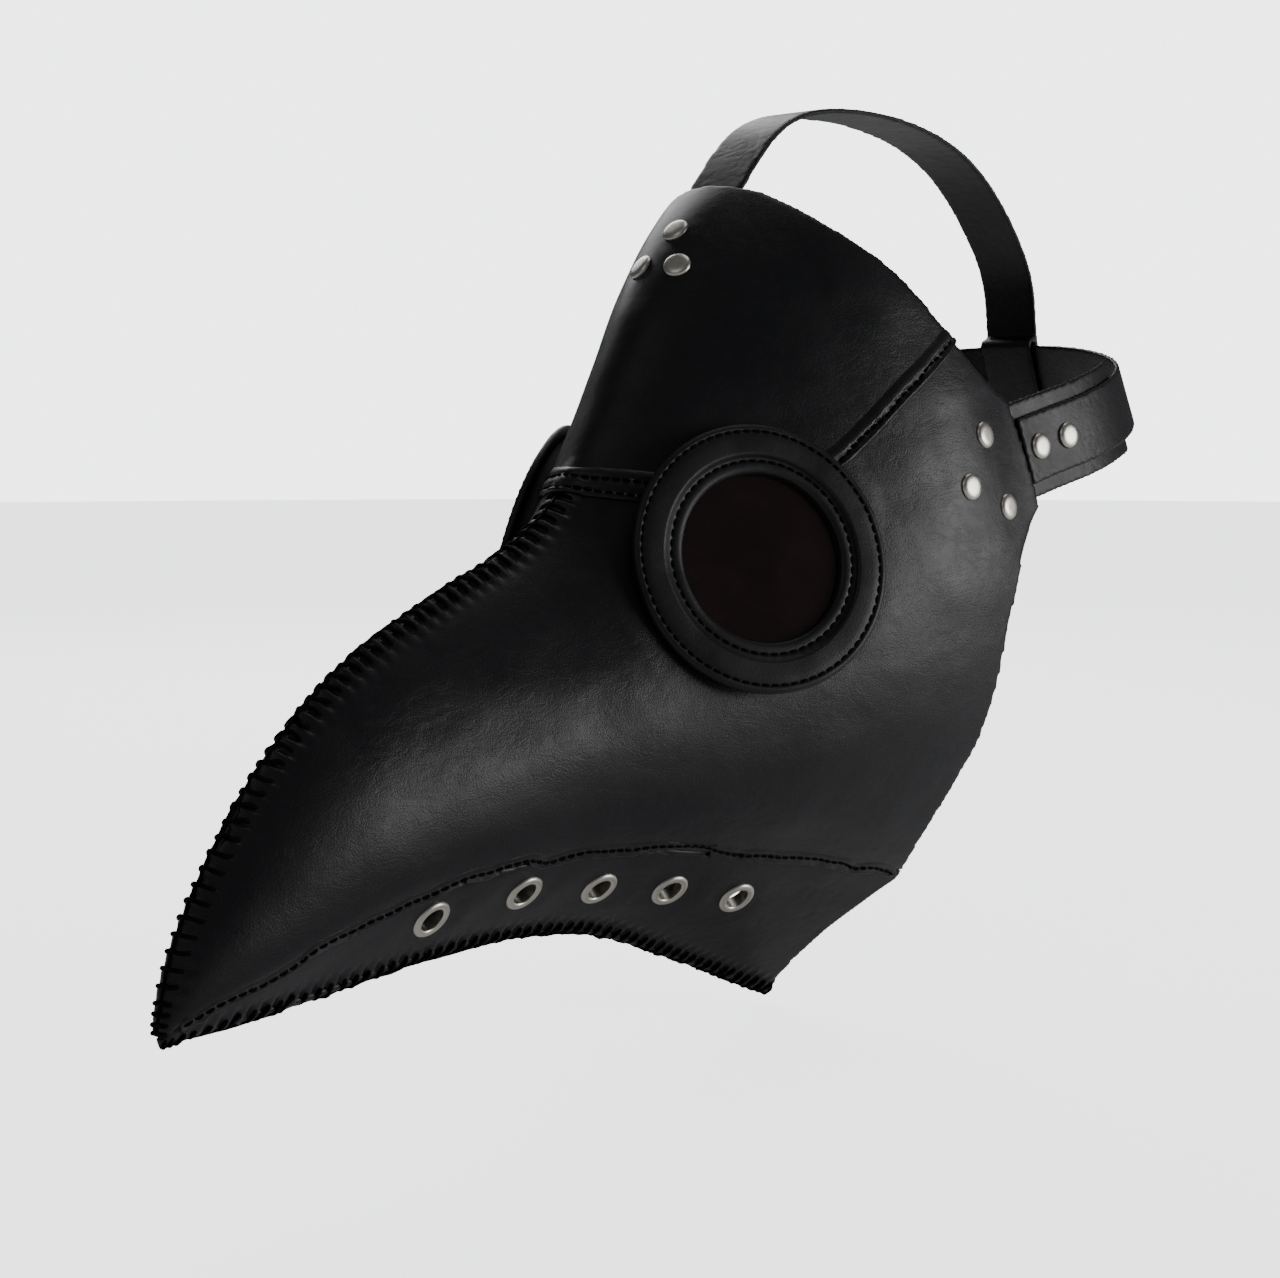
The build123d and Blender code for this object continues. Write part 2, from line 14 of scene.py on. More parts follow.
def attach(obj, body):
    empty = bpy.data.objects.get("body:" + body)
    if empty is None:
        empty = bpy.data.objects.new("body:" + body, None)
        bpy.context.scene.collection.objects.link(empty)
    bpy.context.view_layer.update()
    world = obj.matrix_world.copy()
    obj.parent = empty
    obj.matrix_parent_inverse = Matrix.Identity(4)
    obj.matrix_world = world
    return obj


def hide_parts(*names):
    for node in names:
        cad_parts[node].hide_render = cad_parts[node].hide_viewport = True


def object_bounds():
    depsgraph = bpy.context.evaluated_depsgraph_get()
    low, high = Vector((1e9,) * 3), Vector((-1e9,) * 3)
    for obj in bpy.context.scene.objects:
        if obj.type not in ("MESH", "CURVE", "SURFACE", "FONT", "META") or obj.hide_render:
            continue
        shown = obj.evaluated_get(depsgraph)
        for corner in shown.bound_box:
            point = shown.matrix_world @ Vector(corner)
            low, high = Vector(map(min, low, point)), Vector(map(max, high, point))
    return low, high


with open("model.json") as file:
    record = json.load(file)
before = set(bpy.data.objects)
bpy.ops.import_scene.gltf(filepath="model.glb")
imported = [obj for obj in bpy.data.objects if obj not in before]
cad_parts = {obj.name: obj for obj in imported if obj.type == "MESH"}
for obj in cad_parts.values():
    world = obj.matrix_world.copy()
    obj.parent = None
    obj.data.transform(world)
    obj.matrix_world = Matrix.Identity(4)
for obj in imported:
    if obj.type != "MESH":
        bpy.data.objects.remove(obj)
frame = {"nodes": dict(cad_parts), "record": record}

CAD_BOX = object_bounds()
NODES = frame["nodes"]
MM = 0.001

# ---------------------------------------------------------------- sizes
LACE_PITCH = 4.7 * MM          # whip stitches along the ridge and keel
LACE_REACH = 5.6 * MM          # how far a whip stitch reaches down each side
LACE_RADIUS = 0.66 * MM
THREAD_RADIUS = 0.42 * MM      # fine seam thread
STITCH_PITCH = 3.3 * MM
STITCH_LENGTH = 2.3 * MM
OUTER_ROW = 2.3 * MM           # the eye ring's stitch rows, in from its rim and out from its opening
INNER_ROW = 3.7 * MM

# ---------------------------------------------------------------- camera
CAMERA_AZIMUTH = math.radians(40)
CAMERA_ELEVATION = math.radians(5.5)
CAMERA_DISTANCE = 0.65
CAMERA_LENS = 59.2
NOSE_BRIDGE = Vector((0, -0.16, 0.023))
BRIDGE_LEFT = 24.1 * MM        # how far the nose bridge stands left of and above the picture's middle
BRIDGE_UP = 46.9 * MM


def make_camera():
    data = bpy.data.cameras.new("camera")
    data.lens = CAMERA_LENS
    data.sensor_width = 36
    camera = bpy.data.objects.new("camera", data)
    bpy.context.scene.collection.objects.link(camera)
    azimuth, elevation = CAMERA_AZIMUTH, CAMERA_ELEVATION
    right = Vector((math.cos(azimuth), math.sin(azimuth), 0))
    back = Vector((math.sin(azimuth) * math.cos(elevation), -math.cos(azimuth) * math.cos(elevation),
                   math.sin(elevation)))
    up = back.cross(right)
    place = NOSE_BRIDGE + BRIDGE_LEFT * right - BRIDGE_UP * up + CAMERA_DISTANCE * back
    turn = Matrix((right, up, back)).transposed().to_4x4()
    camera.matrix_world = Matrix.Translation(place) @ turn
    bpy.context.scene.camera = camera


make_camera()


# ---------------------------------------------------------------- node material helpers
def new_material(name):
    material = bpy.data.materials.new(name)
    material.use_nodes = True
    return material, material.node_tree.nodes, material.node_tree.links


def add_node(nodes, kind, **values):
    """A shader node with its attributes or its input sockets set."""
    node = nodes.new(kind)
    for key, value in values.items():
        if key in node.inputs:
            node.inputs[key].default_value = value
        else:
            setattr(node, key, value)
    return node


def noise(nodes, links, place, scale, detail=4, roughness=0.55, distortion=0.0):
    texture = add_node(nodes, "ShaderNodeTexNoise", Scale=scale, Detail=detail, Roughness=roughness,
                       Distortion=distortion)
    links.new(place, texture.inputs["Vector"])
    return texture.outputs["Fac"]


def ramp(nodes, links, value, low, high, start, end):
    """Maps a value between two positions to numbers or colours."""
    node = nodes.new("ShaderNodeMapRange")
    node.inputs["From Min"].default_value = low
    node.inputs["From Max"].default_value = high
    node.inputs["To Min"].default_value = start
    node.inputs["To Max"].default_value = end
    links.new(value, node.inputs["Value"])
    return node.outputs["Result"]


def mix_colours(nodes, links, amount, first, second):
    node = nodes.new("ShaderNodeMix")
    node.data_type = "RGBA"
    node.inputs["A"].default_value = (*first, 1)
    node.inputs["B"].default_value = (*second, 1)
    links.new(amount, node.inputs["Factor"])
    return node.outputs["Result"]


def add_bump(nodes, links, height, strength, distance, normal=None):
    node = add_node(nodes, "ShaderNodeBump", Strength=strength, Distance=distance)
    links.new(height, node.inputs["Height"])
    if normal:
        links.new(normal, node.inputs["Normal"])
    return node.outputs["Normal"]


def leather(name, dark, light, roughness, grain=1.0, creases=1.0):
    """Embossed faux leather: fine pebble grain, soft creases and a broken satin sheen."""
    material, nodes, links = new_material(name)
    shader = nodes["Principled BSDF"]
    place = nodes.new("ShaderNodeTexCoord").outputs["Object"]
    cells = add_node(nodes, "ShaderNodeTexVoronoi", feature="DISTANCE_TO_EDGE", Scale=1150)
    links.new(place, cells.inputs["Vector"])
    pebble = ramp(nodes, links, cells.outputs["Distance"], 0.0, 0.35, 0.0, 1.0)
    pores = noise(nodes, links, place, 3200, 2)
    waves = noise(nodes, links, place, 26, 3, 0.5)
    stretched = add_node(nodes, "ShaderNodeMapping", Scale=(1.0, 0.35, 1.0), Rotation=(0.6, 0.0, 0.3))
    links.new(place, stretched.inputs["Vector"])
    folds = noise(nodes, links, stretched.outputs["Vector"], 150, 6, 0.62, 1.2)
    crease = add_node(nodes, "ShaderNodeMath", operation="ABSOLUTE")
    links.new(ramp(nodes, links, folds, 0.0, 1.0, -1.0, 1.0), crease.inputs[0])
    line = ramp(nodes, links, crease.outputs["Value"], 0.0, 0.09, 0.0, 1.0)
    normal = add_bump(nodes, links, waves, 0.35, 2.5 * MM)
    normal = add_bump(nodes, links, line, 0.10 * creases, 0.5 * MM, normal)
    normal = add_bump(nodes, links, pebble, 0.10 * grain, 0.25 * MM, normal)
    normal = add_bump(nodes, links, pores, 0.10 * grain, 0.12 * MM, normal)
    links.new(normal, shader.inputs["Normal"])
    tint = noise(nodes, links, place, 9, 5, 0.6)
    links.new(mix_colours(nodes, links, tint, dark, light), shader.inputs["Base Color"])
    gloss = noise(nodes, links, place, 45, 6, 0.65)
    links.new(ramp(nodes, links, gloss, 0.25, 0.75, roughness - 0.05, roughness + 0.07),
              shader.inputs["Roughness"])
    shader.inputs["Specular IOR Level"].default_value = 0.4
    shader.inputs["Sheen Weight"].default_value = 0.02
    shader.inputs["Sheen Roughness"].default_value = 0.4
    return material


def metal(name, dark, light, roughness):
    """Satin nickel plate with fine scratches."""
    material, nodes, links = new_material(name)
    shader = nodes["Principled BSDF"]
    shader.inputs["Metallic"].default_value = 1.0
    place = nodes.new("ShaderNodeTexCoord").outputs["Object"]
    cloud = noise(nodes, links, place, 260, 5)
    links.new(mix_colours(nodes, links, cloud, dark, light), shader.inputs["Base Color"])
    brushed = add_node(nodes, "ShaderNodeMapping", Scale=(1.0, 14.0, 1.0), Rotation=(0.3, 0.5, 0.2))
    links.new(place, brushed.inputs["Vector"])
    scratches = noise(nodes, links, brushed.outputs["Vector"], 1400, 3)
    links.new(ramp(nodes, links, scratches, 0.3, 0.7, roughness - 0.06, roughness + 0.1),
              shader.inputs["Roughness"])
    links.new(add_bump(nodes, links, scratches, 0.12, 0.05 * MM), shader.inputs["Normal"])
    return material


def thread(name, dark, light):
    """Waxed twisted thread."""
    material, nodes, links = new_material(name)
    shader = nodes["Principled BSDF"]
    place = nodes.new("ShaderNodeTexCoord").outputs["Object"]
    twist = add_node(nodes, "ShaderNodeTexWave", Scale=900, Distortion=1.5, bands_direction="DIAGONAL")
    links.new(place, twist.inputs["Vector"])
    fuzz = noise(nodes, links, place, 5200, 2)
    links.new(mix_colours(nodes, links, fuzz, dark, light), shader.inputs["Base Color"])
    shader.inputs["Roughness"].default_value = 0.85
    shader.inputs["Specular IOR Level"].default_value = 0.12
    normal = add_bump(nodes, links, twist.outputs["Fac"], 0.5, 0.15 * MM)
    links.new(add_bump(nodes, links, fuzz, 0.2, 0.05 * MM, normal), shader.inputs["Normal"])
    return material


def stiffener(name):
    """Dull black moulded board with a faint mottled skin."""
    material, nodes, links = new_material(name)
    shader = nodes["Principled BSDF"]
    place = nodes.new("ShaderNodeTexCoord").outputs["Object"]
    mottle = noise(nodes, links, place, 900, 4)
    links.new(mix_colours(nodes, links, mottle, (0.008, 0.008, 0.009), (0.016, 0.016, 0.017)),
              shader.inputs["Base Color"])
    links.new(ramp(nodes, links, mottle, 0.3, 0.7, 0.55, 0.7), shader.inputs["Roughness"])
    links.new(add_bump(nodes, links, mottle, 0.2, 0.1 * MM), shader.inputs["Normal"])
    return material


def tinted_lens(name):
    """Dark red-brown plastic film, smooth, with faint smears."""
    material, nodes, links = new_material(name)
    shader = nodes["Principled BSDF"]
    place = nodes.new("ShaderNodeTexCoord").outputs["Object"]
    smears = noise(nodes, links, place, 60, 4, 0.5, 0.8)
    links.new(mix_colours(nodes, links, smears, (0.006, 0.0042, 0.0042), (0.024, 0.0105, 0.0095)),
              shader.inputs["Base Color"])
    links.new(ramp(nodes, links, smears, 0.3, 0.7, 0.07, 0.16), shader.inputs["Roughness"])
    bend = noise(nodes, links, place, 22, 2)
    links.new(add_bump(nodes, links, bend, 0.25, 1.0 * MM), shader.inputs["Normal"])
    shader.inputs["Transmission Weight"].default_value = 0.12
    shader.inputs["IOR"].default_value = 1.49
    return material


LEATHER = leather("leather", (0.0030, 0.0030, 0.0043), (0.0056, 0.0057, 0.0080), 0.40)
RING_LEATHER = leather("ring_leather", (0.0029, 0.0029, 0.0042), (0.0053, 0.0054, 0.0076), 0.45, 1.0, 0.5)
STRAP_LEATHER = leather("strap_leather", (0.0031, 0.0031, 0.0044), (0.0058, 0.0059, 0.0082), 0.42, 0.8, 0.6)
NICKEL = metal("nickel", (0.56, 0.53, 0.47), (0.74, 0.71, 0.64), 0.33)
THREAD = thread("thread", (0.0006, 0.0006, 0.0007), (0.0022, 0.0022, 0.0026))
BOARD = stiffener("board")
LENS = tinted_lens("lens")

FINISHES = {
    "leather": LEATHER, "ring_leather": RING_LEATHER, "strap_leather": STRAP_LEATHER, "nickel": NICKEL,
    "thread": THREAD, "stiffener": BOARD, "lens": LENS,
}


def finish_nodes():
    """Every CAD node gets the material of its slot."""
    for part in frame["record"]["subparts"]:
        piece = NODES[part["node"]]
        piece.data.materials.clear()
        piece.data.materials.append(FINISHES[part["material_slot"]])


finish_nodes()


# ---------------------------------------------------------------- mesh helpers
def unit(vector):
    return vector / np.linalg.norm(vector)


def skin_of(*names):
    """Search tree over the surfaces of some CAD nodes."""
    points, faces = [], []
    for name in names:
        mesh = NODES[name].data
        start = len(points)
        points.extend(vertex.co.copy() for vertex in mesh.vertices)
        faces.extend([start + index for index in face.vertices] for face in mesh.polygons)
    return BVHTree.FromPolygons(points, faces)


def new_piece(name, points, faces, material, slot, replaces=(), body="mask"):
    mesh = bpy.data.meshes.new(name)
    mesh.from_pydata([tuple(point) for point in points], [], faces)
    mesh.materials.append(material)
    mesh.polygons.foreach_set("use_smooth", [True] * len(mesh.polygons))
    mesh.update()
    piece = bpy.data.objects.new(name, mesh)
    bpy.context.scene.collection.objects.link(piece)
    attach(piece, body)
    if replaces:
        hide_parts(*replaces)
    return piece


def tube(points, radii, sides=8):
    """Closed tube through points, with a radius at each."""
    points = np.asarray(points, float)
    along = np.gradient(points, axis=0)
    side = unit(np.cross(along[0], (0.31, 0.52, 0.79)))
    rings, faces = [], []
    for place, direction, radius in zip(points, along, radii):
        direction = unit(direction)
        side = unit(side - direction * side.dot(direction))
        across = np.cross(direction, side)
        for step in range(sides):
            turn = 2 * math.pi * step / sides
            rings.append(place + radius * (math.cos(turn) * side + math.sin(turn) * across))
    for ring in range(len(points) - 1):
        for step in range(sides):
            a = ring * sides + step
            b = ring * sides + (step + 1) % sides
            faces.append((a, b, b + sides, a + sides))
    faces.append(tuple(reversed(range(sides))))
    last = (len(points) - 1) * sides
    faces.append(tuple(range(last, last + sides)))
    return rings, faces


def gather(pieces):
    """Joins (points, faces) pairs into one."""
    points, faces = [], []
    for some_points, some_faces in pieces:
        start = len(points)
        points.extend(some_points)
        faces.extend(tuple(start + index for index in face) for face in some_faces)
    return points, faces


def resample(points, step):
    """Evenly spaced points along a polyline, and their distances."""
    points = np.asarray(points, float)
    lengths = np.r_[0, np.cumsum(np.linalg.norm(np.diff(points, axis=0), axis=1))]
    count = max(2, int(round(lengths[-1] / step)) + 1)
    wanted = np.linspace(0, lengths[-1], count)
    return np.column_stack([np.interp(wanted, lengths, points[:, axis]) for axis in range(3)]), wanted


def smoothed(points, rounds=6):
    points = np.array(points, float)
    for _ in range(rounds):
        points[1:-1] = 0.25 * points[:-2] + 0.5 * points[1:-1] + 0.25 * points[2:]
    return points


def crease_lines(name, keep, turn_limit=math.radians(40)):
    """Sharp edge lines of a CAD node whose points pass a test, as polylines."""
    work = bmesh.new()
    work.from_mesh(NODES[name].data)
    bmesh.ops.remove_doubles(work, verts=work.verts, dist=2e-6)
    links = {}
    for edge in work.edges:
        sharp = len(edge.link_faces) != 2 or edge.calc_face_angle(0) > math.radians(24)
        if sharp and all(keep(vertex.co) for vertex in edge.verts):
            for near, far in (edge.verts, reversed(edge.verts)):
                links.setdefault(near.index, set()).add(far.index)
    work.verts.ensure_lookup_table()
    places = {index: np.array(work.verts[index].co) for index in links}
    work.free()
    lines, seen = [], set()

    def straight_on(before, here, after):
        first, second = places[here] - places[before], places[after] - places[here]
        cosine = first.dot(second) / (np.linalg.norm(first) * np.linalg.norm(second) + 1e-12)
        return cosine > math.cos(turn_limit)

    for start in links:
        for second in links[start]:
            if (start, second) in seen:
                continue
            ways = [other for other in links[start] if other != second]
            if len(ways) == 1 and straight_on(ways[0], start, second):
                continue
            line = [start, second]
            seen.update({(start, second), (second, start)})
            while True:
                ways = [other for other in links[line[-1]] if other != line[-2]]
                if len(ways) != 1 or not straight_on(line[-2], line[-1], ways[0]):
                    break
                if (line[-1], ways[0]) in seen:
                    break
                seen.update({(line[-1], ways[0]), (ways[0], line[-1])})
                line.append(ways[0])
            lines.append(np.array([places[index] for index in line]))
    return lines


def line_length(points):
    return float(np.linalg.norm(np.diff(points, axis=0), axis=1).sum())


# ---------------------------------------------------------------- fine copies of the soft pieces
PANELS = ("forehead_panel", "left_cheek_panel", "right_cheek_panel", "left_lower_panel", "right_lower_panel")
STRAPS = ("top_strap", "left_strap", "right_strap", "left_anchor_tab", "right_anchor_tab", "strap_keeper")
LACINGS = ("ridge_lacing", "keel_lacing")
RINGS = ("left_eye_ring", "right_eye_ring")
PANEL_VOXEL = 1.05 * MM
STRAP_VOXEL = 0.75 * MM


def smoothstep(value, low, high):
    part = np.clip((value - low) / (high - low), 0, 1)
    return part * part * (3 - 2 * part)


def fine_copy(name, voxel, rounds, let_out=0.0):
    """A close, even mesh of a CAD node with its edges softened: the mesh and its points."""
    mesh = NODES[name].data.copy()
    work = bmesh.new()
    work.from_mesh(mesh)
    bmesh.ops.remove_doubles(work, verts=work.verts, dist=2e-6)
    work.to_mesh(mesh)
    work.free()
    probe = bpy.data.objects.new(name + "_probe", mesh)
    bpy.context.scene.collection.objects.link(probe)
    remesh = probe.modifiers.new("remesh", "REMESH")
    remesh.mode = "VOXEL"
    remesh.voxel_size = voxel
    graph = bpy.context.evaluated_depsgraph_get()
    fine = bpy.data.meshes.new_from_object(probe.evaluated_get(graph))
    bpy.data.objects.remove(probe)
    points = np.empty(len(fine.vertices) * 3)
    fine.vertices.foreach_get("co", points)
    points = points.reshape(-1, 3)
    ends = np.empty(len(fine.edges) * 2, int)
    fine.edges.foreach_get("vertices", ends)
    first, second = ends.reshape(-1, 2).T
    count = np.bincount(np.r_[first, second], minlength=len(points))[:, None]
    for _ in range(rounds):
        total = np.column_stack([
            np.bincount(first, points[second, axis], len(points))
            + np.bincount(second, points[first, axis], len(points)) for axis in range(3)])
        points = 0.5 * points + 0.5 * total / count
    fine.vertices.foreach_set("co", points.ravel())
    fine.update()
    normals = np.array([vertex.normal[:] for vertex in fine.vertices])
    return fine, points + normals * let_out


def show_copy(name, fine, points, material, body="mask"):
    fine.vertices.foreach_set("co", points.ravel())
    fine.materials.clear()
    fine.materials.append(material)
    fine.polygons.foreach_set("use_smooth", [True] * len(fine.polygons))
    fine.name = name + "_worked"
    fine.update()
    piece = bpy.data.objects.new(name + "_worked", fine)
    bpy.context.scene.collection.objects.link(piece)
    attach(piece, body)
    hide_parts(name)
    return piece


def cloud(points, stretch, seed):
    """Smooth noise at each point."""
    shift = Vector((seed * 7.3, seed * 3.1, seed * 5.7))
    scale = Vector(stretch)
    return np.array([field.noise(Vector(point) * scale + shift) for point in points.tolist()])


# ---------------------------------------------------------------- seam and lacing lines, read from the CAD
LIFTED = np.array((0, 0, 2 * MM))


CAD_SKINS = {name: skin_of(name) for name in ("forehead_panel", "left_cheek_panel", "left_lower_panel",
                                              "left_eye_ring", "left_anchor_tab", "left_strap")}


def first_hit(origin, direction):
    """(node, place, normal) of the first outer surface on a ray, or None."""
    best = None
    for name, skin in CAD_SKINS.items():
        place, normal, _, distance = skin.ray_cast(Vector(origin), Vector(direction))
        if place is not None and (best is None or distance < best[0]):
            best = (distance, name, np.array(place), np.array(normal))
    return best[1:] if best else None


def seam_crossing(ray_at, upper, lower, high, low, step=2 * MM):
    """Where rays stop meeting one panel and start meeting the next, going down; None if something covers it."""
    height = high
    above = None
    while height > low:
        hit = first_hit(*ray_at(height))
        if hit and hit[0] == upper:
            above = height
        elif above is not None:
            break
        height -= step
    if above is None:
        return None
    below = above - step
    for _ in range(12):
        middle = 0.5 * (above + below)
        hit = first_hit(*ray_at(middle))
        if hit and hit[0] == upper:
            above = middle
        else:
            below = middle
    over, under = first_hit(*ray_at(above)), first_hit(*ray_at(below - 0.3 * MM))
    if not under or under[0] != lower:
        return None
    return over[1], over[2]


def side_seam():
    """The seam between cheek and lower panel on the left side, from the tip backwards."""
    line = []
    for y in np.arange(-0.315, -0.030, 2.5 * MM):
        found = seam_crossing(lambda z: ((0.25, y, z), (-1, 0, 0)), "left_cheek_panel", "left_lower_panel",
                              0.0, -0.17)
        if found:
            line.append(found)
    places = np.array([place for place, _ in line])
    across, heights = (steady_curve(places[:, 1], places[:, axis]) for axis in (0, 2))
    steady = np.column_stack([across, places[:, 1], heights])
    return [(place, normal) for place, (_, normal) in zip(steady, line)]


def steady_curve(along, values):
    """A smooth curve through values, leaving out the odd one that lies off it."""
    kept = np.ones(len(values), bool)
    for _ in range(4):
        curve = np.polynomial.Polynomial.fit(along[kept], values[kept], 7)
        kept = np.abs(curve(along) - values) < 1.2 * MM
    return curve(along)


def brow_seams():
    """The left half of the forehead panel's lower seam: the part over the nose and the part behind the ring."""
    forehead, cheek = CAD_SKINS["forehead_panel"], CAD_SKINS["left_cheek_panel"]
    lines = [line for line in crease_lines("forehead_panel", lambda place: cheek.find_nearest(place)[3] < 0.1 * MM)
             if line_length(line) > 20 * MM]
    over_nose = [line for line in lines if line[:, 1].mean() < -0.12]
    behind_ring = [line for line in lines if line[:, 1].mean() > -0.12]
    found = []
    for choice in (over_nose, behind_ring):
        line = max(choice, key=line_length)
        line = line if line[0][1] < line[-1][1] else line[::-1]
        guesses = [unit(place - np.array((0, -0.04, place[2] - 0.03))) for place in line]
        found.append([(place, np.array(forehead.find_nearest(Vector(place + guess * 3 * MM + LIFTED))[1]))
                      for place, guess in zip(line, guesses)])
    return found


def middle_line(name):
    """The outer edge of a left panel in the mask's middle plane."""
    line = max(crease_lines(name, lambda place: abs(place.x) < 2e-5), key=line_length)
    return line if line[0][1] < line[-1][1] else line[::-1]


SIDE_SEAM = side_seam()
BROW_SEAMS = brow_seams()
RIDGE = smoothed(resample(middle_line("left_cheek_panel"), 1 * MM)[0], 10)
KEEL = smoothed(resample(middle_line("left_lower_panel"), 1 * MM)[0], 10)
print("seams", len(SIDE_SEAM), [len(piece) for piece in BROW_SEAMS], line_length(RIDGE), line_length(KEEL))


# ---------------------------------------------------------------- worked panels
def lace_places(line):
    """Distances along a lacing line at which its stitches cross it; closer together at the tip."""
    total = line_length(line)
    places = [1.5 * MM]
    while places[-1] < total - 1.2 * LACE_PITCH:
        places.append(places[-1] + (0.6 * LACE_PITCH if places[-1] < 9 * MM else LACE_PITCH))
    return np.array(places)


RIDGE_LACES = lace_places(RIDGE)
KEEL_LACES = lace_places(KEEL)


def near_line(points, line):
    """Distance from each point to a polyline of even 1 mm steps, and how far along it that is."""
    fine, along = resample(line, 0.5 * MM)
    tree = KDTree(len(fine))
    for index, place in enumerate(fine):
        tree.insert(place, index)
    tree.balance()
    found = [tree.find(point) for point in points.tolist()]
    return np.array([item[2] for item in found]), along[[item[1] for item in found]]


def lace_pull(points, line, laces):
    """Leather drawn in under each stitch and puffed out between them."""
    height = np.zeros(len(points))
    close = np.abs(points[:, 0]) < 0.022
    distance, along = near_line(points[close], line)
    gap = np.abs(along[:, None] - laces[None, :]).min(axis=1)
    valley = np.cos(np.clip(gap / LACE_PITCH, 0, 0.5) * math.pi) ** 2
    reach = 1 - smoothstep(distance, 3.5 * MM, 10 * MM)
    size = 0.35 + 0.65 * smoothstep(along, 2 * MM, 40 * MM)
    height[close] = reach * size * (0.85 * MM * (1 - valley) - 0.75 * MM * valley)
    return height


def middle_heights(y):
    return np.interp(y, (RIDGE[0][1], RIDGE[-1][1], 0.0),
                     (RIDGE[0][2], 0.5 * (RIDGE[-1][2] + KEEL[len(KEEL) // 2][2]), -0.016))


def work_panels():
    fittings = skin_of(*[name for name in NODES if name not in PANELS + LACINGS])
    seam = np.array([place for place, _ in SIDE_SEAM])
    copies = {name: fine_copy(name, PANEL_VOXEL, 2, 0.32 * MM) for name in PANELS}
    names = list(copies)
    points = np.concatenate([copies[name][1] for name in names])
    outward = points.copy()
    outward[:, 1] = 0
    outward[:, 2] -= middle_heights(points[:, 1])
    outward /= np.linalg.norm(outward, axis=1)[:, None]
    spacing = np.array([fittings.find_nearest(point)[3] for point in points.tolist()])
    clear = smoothstep(spacing, 1.5 * MM, 9 * MM)
    broad = cloud(points, (26, 22, 26), 1)
    medium = cloud(points, (75, 48, 75), 2)
    streak = cloud(points, (120, 90, 260), 3)
    patch = smoothstep(cloud(points, (20, 20, 20), 4), -0.15, 0.35)
    crease = np.clip(1 - np.abs(streak) / 0.13, 0, 1) ** 1.6
    height = 1.1 * MM * broad + 0.34 * MM * medium - 0.13 * MM * crease * patch
    mirrored = np.column_stack([np.abs(points[:, 0]), points[:, 1:]])
    distance, _ = near_line(mirrored, seam)
    height *= 0.35 + 0.65 * smoothstep(distance, 1 * MM, 12 * MM)
    height += -0.3 * MM * np.exp(-(distance / (1.5 * MM)) ** 2)
    height *= clear
    height += clear * lace_pull(points, RIDGE, RIDGE_LACES) + clear * lace_pull(points, KEEL, KEEL_LACES)
    points = points + outward * height[:, None]
    start = 0
    worked = []
    for name in names:
        fine, before = copies[name]
        share = points[start:start + len(before)]
        start += len(before)
        worked.append(show_copy(name, fine, share, LEATHER))
    return worked


WORKED = work_panels()


def surface_of(pieces):
    points, faces = [], []
    for piece in pieces:
        start = len(points)
        points.extend(vertex.co.copy() for vertex in piece.data.vertices)
        faces.extend([start + index for index in face.vertices] for face in piece.data.polygons)
    return BVHTree.FromPolygons(points, faces)


SHOWN = surface_of(WORKED)


def over(skin, place, normal, height, lift=3 * MM):
    """A point at a height over the worked leather, found from a little outside it."""
    spot = skin.find_nearest(Vector(place + normal * lift))[0]
    return np.array(spot) + normal * height


# ---------------------------------------------------------------- straps and keeper
def work_straps():
    for name in STRAPS:
        fine, points = fine_copy(name, STRAP_VOXEL, 3)
        fine.vertices.foreach_set("co", points.ravel())
        fine.update()
        normals = np.array([vertex.normal[:] for vertex in fine.vertices])
        waves = cloud(points, (60, 60, 60), 5)
        streak = cloud(points, (210, 210, 210), 6)
        crease = np.clip(1 - np.abs(streak) / 0.12, 0, 1) ** 1.5
        points = points + normals * (0.10 * MM * waves - 0.09 * MM * crease)[:, None]
        body = "keeper" if name == "strap_keeper" else "mask"
        show_copy(name, fine, points, STRAP_LEATHER, body)


work_straps()


# ---------------------------------------------------------------- eye rings
RING_STEPS = 420
RING_PROFILE = (                # (in from the rim or out from the opening, height over the CAD's top face), mm
    ("rim", 0.3, -3.0), ("rim", -0.1, -2.3), ("rim", -0.2, -1.4), ("rim", 0.1, -0.7), ("rim", 0.7, -0.25),
    ("rim", 1.3, -0.05), ("rim", 1.8, -0.12), ("rim", 2.3, -0.38), ("rim", 2.8, -0.12), ("rim", 3.4, 0.08),
    ("rim", 5.0, 0.22), ("rim", 7.0, 0.30), ("rim", 9.0, 0.30), ("rim", 11.0, 0.22), ("hole", 5.2, 0.10),
    ("hole", 4.5, 0.0), ("hole", 4.1, -0.15), ("hole", 3.7, -0.38), ("hole", 3.3, -0.15), ("hole", 2.7, 0.0),
    ("hole", 1.7, -0.02), ("hole", 0.9, -0.15), ("hole", 0.3, -0.55), ("hole", 0.0, -1.2), ("hole", 0.0, -2.0),
    ("hole", 0.1, -3.0),
)


